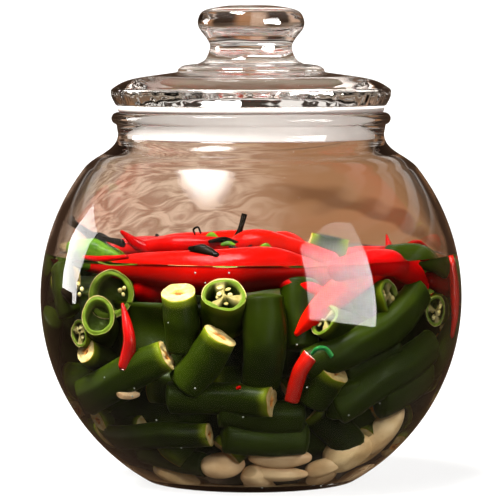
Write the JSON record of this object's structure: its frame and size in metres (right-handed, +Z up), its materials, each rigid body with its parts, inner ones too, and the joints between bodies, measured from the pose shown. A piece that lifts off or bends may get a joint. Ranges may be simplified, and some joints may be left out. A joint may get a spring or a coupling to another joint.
{
  "type": "kimchi jar",
  "caption": "Round clear glass pickling jar with a short neck and a glass knob lid, filled with green and red chillies and garlic cloves in brine.",
  "frame": {"origin": "centre of the flat foot that the jar stands on", "axes": "+Z up the jar's axis to the lid's knob, -Y towards the side that the picture shows, +X to that view's right"},
  "size_m": [0.2024, 0.2024, 0.2279],
  "materials": {
    "jar_glass": "clear blown soda glass",
    "lid_glass": "clear pressed soda glass",
    "silicone": "milky translucent silicone",
    "green_chilli": "waxy wet green chilli skin",
    "red_chilli": "glossy wet red chilli skin",
    "garlic": "smooth peeled garlic",
    "green_stem": "fresh green stem",
    "dark_stem": "dark wet stem"
  },
  "bodies": {
    "root": {"jar": "jar_glass", "lid": "lid_glass", "seal_ring": "silicone", "green_chilli_heap": "green_chilli", "red_chilli_heap": "red_chilli", "standing_red_tip": "red_chilli", "stemmed_red_piece": "red_chilli", "red_chilli_at_edge": "red_chilli", "green_piece_afloat": "green_chilli", "garlic_heap": "garlic", "curled_stem": "green_stem", "upright_stem": "dark_stem", "left_stem": "dark_stem"}
  },
  "joints": []
}
